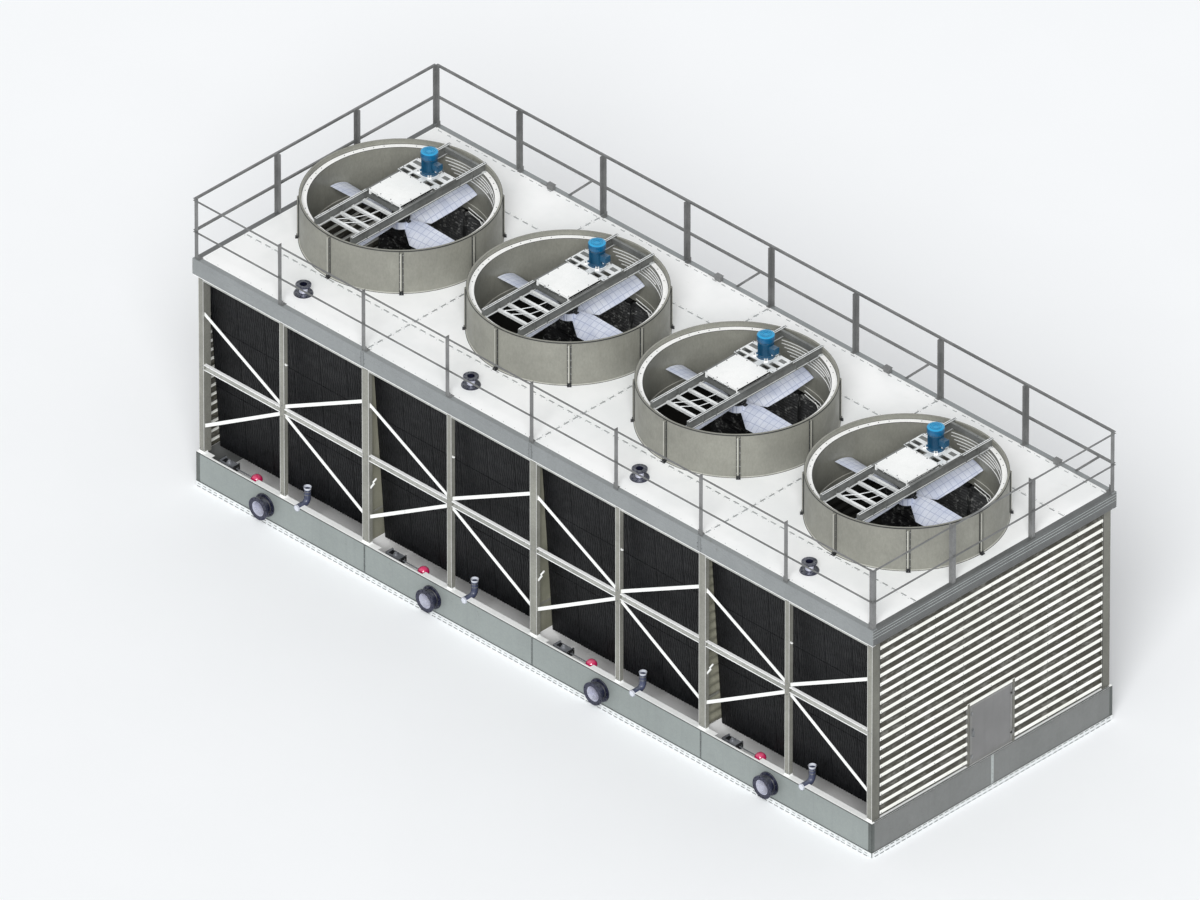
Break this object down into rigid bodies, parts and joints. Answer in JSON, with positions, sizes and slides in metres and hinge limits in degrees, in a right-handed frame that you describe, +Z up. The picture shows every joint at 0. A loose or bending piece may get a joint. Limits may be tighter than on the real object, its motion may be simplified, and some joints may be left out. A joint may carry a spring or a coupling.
{
  "type": "crossflow cooling tower",
  "caption": "Row of crossflow cooling tower cells on one cold water basin, with sloped fill, braced inlet face, round fan stacks, belt-driven fans and a guardrailed deck.",
  "frame": {"origin": "on the ground below the middle of the tower, at the underside of the basin floor", "axes": "+X along the row of cells, -Y out of the inlet face with the outlet nozzles, +Z up"},
  "size_m": [14.785, 5.5405, 5.558],
  "materials": {
    "galvanised_sheet": "matt zinc-coated sheet, dull grey",
    "galvanised_frame": "zinc-coated channel, light grey",
    "deck_sheet": "white coated deck plate",
    "rail_steel": "dark grey zinc-coated angle",
    "casing_sheet": "off-white ribbed sheet with olive shade",
    "door_paint": "plain grey paint",
    "grp_stack": "beige-grey glass reinforced plastic",
    "fan_blade": "pale blue-grey blades",
    "fill_black": "black film fill",
    "eliminator_black": "black blades",
    "motor_blue": "blue enamel",
    "guard_white": "white plate",
    "belt_rubber": "black rubber",
    "navy_paint": "dark navy enamel",
    "pipe_grey": "grey-blue plastic pipe",
    "valve_grey": "grey casting with black plates",
    "float_red": "glossy red"
  },
  "bodies": {
    "tower": {"basin_floor": "galvanised_sheet", "basin_front_wall": "galvanised_sheet", "basin_back_wall": "galvanised_sheet", "basin_end_walls": "galvanised_sheet", "basin_rims": "galvanised_sheet", "basin_dividers": "galvanised_sheet", "outlet_nozzles": "navy_paint", "float_valves": "valve_grey", "float_balls": "float_red", "standpipes": "pipe_grey", "columns": "galvanised_frame", "inlet_girts": "galvanised_frame", "inlet_braces": "galvanised_frame", "fill_packs": "fill_black", "drift_eliminators": "eliminator_black", "cell_partitions": "casing_sheet", "end_casing_sides": "casing_sheet", "end_casing_over_doors": "casing_sheet", "door_jambs": "door_paint", "front_fascia": "galvanised_sheet", "back_fascia": "galvanised_sheet", "end_fascia": "galvanised_sheet", "hot_basin_covers": "deck_sheet", "hot_water_basins": "galvanised_sheet", "front_hot_inlets": "navy_paint", "drive_bridges": "galvanised_frame", "belt_guards": "guard_white", "drive_belts": "belt_rubber", "fan_motors": "motor_blue", "rail_posts": "rail_steel", "top_rails": "rail_steel", "middle_rails": "rail_steel", "rail_braces": "rail_steel", "deck_panel_1": "deck_sheet", "fan_stack_1": "grp_stack", "deck_panel_2": "deck_sheet", "fan_stack_2": "grp_stack", "deck_panel_3": "deck_sheet", "fan_stack_3": "grp_stack", "deck_panel_4": "deck_sheet", "fan_stack_4": "grp_stack"},
    "right_door": {"right_door": "door_paint"},
    "left_door": {"left_door": "door_paint"},
    "fan_1": {"fan_1": "fan_blade"},
    "fan_2": {"fan_2": "fan_blade"},
    "fan_3": {"fan_3": "fan_blade"},
    "fan_4": {"fan_4": "fan_blade"}
  },
  "joints": [
    {"name": "fan_1_spin", "type": "hinge", "parent": "tower", "child": "fan_1", "pos_m": [-5.49, 0, 4.555], "axis": [0, 0, -1], "continuous": true},
    {"name": "fan_2_spin", "type": "hinge", "parent": "tower", "child": "fan_2", "pos_m": [-1.83, 0, 4.555], "axis": [0, 0, -1], "continuous": true},
    {"name": "fan_3_spin", "type": "hinge", "parent": "tower", "child": "fan_3", "pos_m": [1.83, 0, 4.555], "axis": [0, 0, -1], "continuous": true},
    {"name": "fan_4_spin", "type": "hinge", "parent": "tower", "child": "fan_4", "pos_m": [5.49, 0, 4.555], "axis": [0, 0, -1], "continuous": true},
    {"name": "right_door_hinge", "type": "hinge", "parent": "tower", "child": "right_door", "pos_m": [7.334, 0.4725, 1.19], "axis": [0, 0, 1], "range_deg": [0, 100]},
    {"name": "left_door_hinge", "type": "hinge", "parent": "tower", "child": "left_door", "pos_m": [-7.334, -0.4725, 1.19], "axis": [0, 0, 1], "range_deg": [0, 100]}
  ]
}
